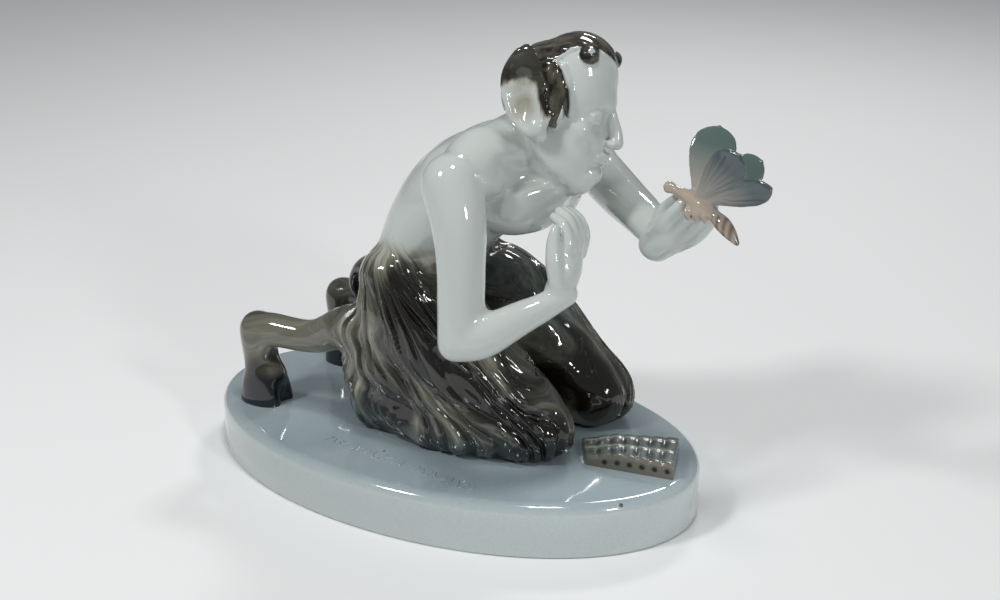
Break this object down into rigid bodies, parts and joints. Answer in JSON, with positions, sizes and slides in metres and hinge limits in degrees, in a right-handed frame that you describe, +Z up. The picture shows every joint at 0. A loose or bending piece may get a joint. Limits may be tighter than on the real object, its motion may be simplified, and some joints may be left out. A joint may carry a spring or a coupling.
{
  "type": "faun figurine",
  "caption": "Glazed porcelain figurine on an oval base: a kneeling faun holds up a butterfly, his reed pipes lying before his knees.",
  "frame": {"origin": "middle of the oval base's flat underside", "axes": "+X the way the faun faces, along the base's length; +Y his left; +Z up"},
  "size_m": [0.2157, 0.117, 0.1665],
  "materials": {
    "glazed_porcelain": "hard-paste porcelain under a clear glossy glaze, white with a blue-grey cast, with brown, black, grey and blue-grey underglaze painting"
  },
  "bodies": {
    "root": {"faun_statue": "glazed_porcelain"}
  },
  "joints": []
}
